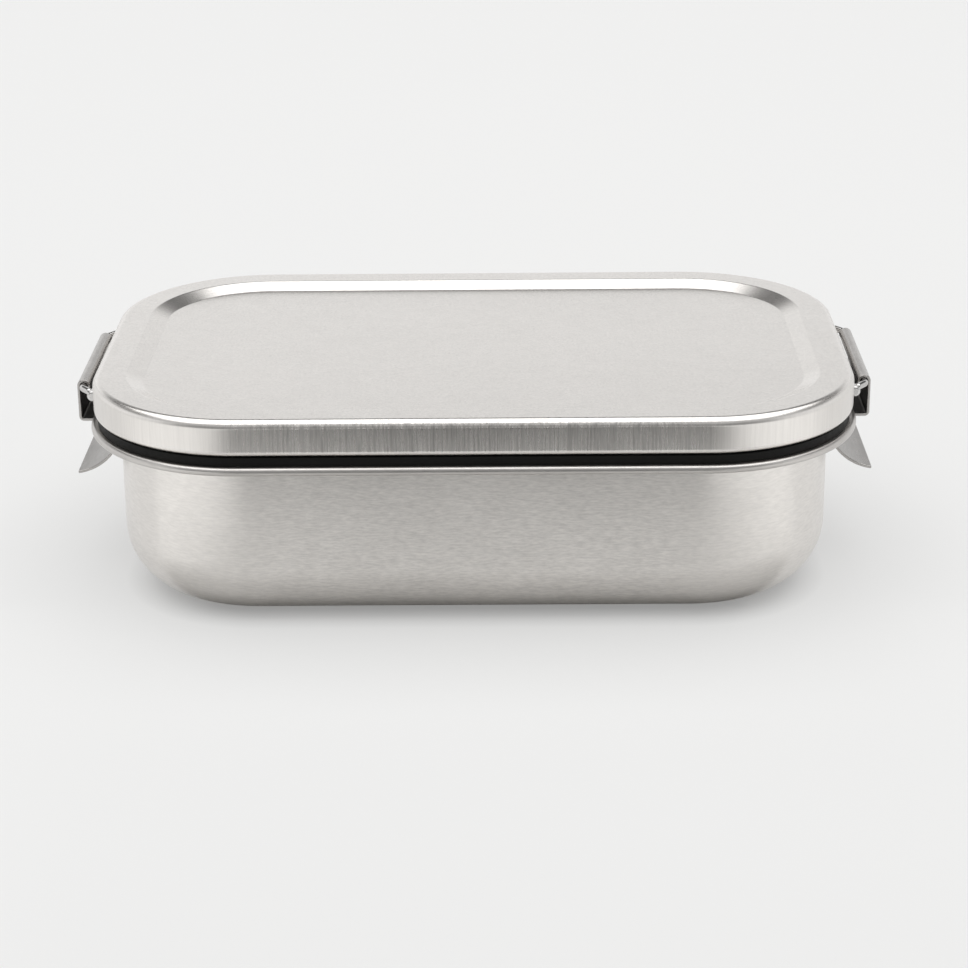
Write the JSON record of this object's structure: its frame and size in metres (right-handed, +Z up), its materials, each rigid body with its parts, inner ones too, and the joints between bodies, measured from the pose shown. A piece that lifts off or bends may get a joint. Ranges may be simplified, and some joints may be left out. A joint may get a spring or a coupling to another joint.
{
  "type": "lunch box",
  "caption": "Stainless steel lunch box with rounded corners, recessed lid, black seal and a swing-out hook clip on each short side.",
  "frame": {"origin": "middle of the footprint, on the flat underside of the tub, level with the surface it stands on", "axes": "+X along the long way of the box towards the right clip, +Y towards the back, +Z up through the lid"},
  "size_m": [0.2346, 0.148, 0.0644],
  "materials": {
    "tub_steel": "satin, brushed along the wall",
    "lid_steel": "satin top, skirt brushed up and down, bright press radii",
    "clip_steel": "satin sheet with plain cut edges",
    "wire_steel": "bright drawn wire",
    "seal_silicone": "matt black silicone"
  },
  "bodies": {
    "base": {"base_tub": "tub_steel"},
    "lid": {"lid_shell": "lid_steel", "lid_seal": "seal_silicone", "left_hinge_wire": "wire_steel", "right_hinge_wire": "wire_steel", "left_front_wire_lug": "wire_steel", "left_rear_wire_lug": "wire_steel", "right_front_wire_lug": "wire_steel", "right_rear_wire_lug": "wire_steel"},
    "left_clip": {"left_clip_plate": "clip_steel"},
    "right_clip": {"right_clip_plate": "clip_steel"}
  },
  "joints": [
    {"name": "lid_lift", "type": "slide", "parent": "base", "child": "lid", "axis": [0, 0, 1], "range_m": [0, 0.15]},
    {"name": "left_clip_swing", "type": "hinge", "parent": "lid", "child": "left_clip", "pos_m": [-0.114, 0, 0.0582], "axis": [0, 1, 0], "range_deg": [0, 170]},
    {"name": "right_clip_swing", "type": "hinge", "parent": "lid", "child": "right_clip", "pos_m": [0.114, 0, 0.0582], "axis": [0, -1, 0], "range_deg": [0, 170]}
  ]
}
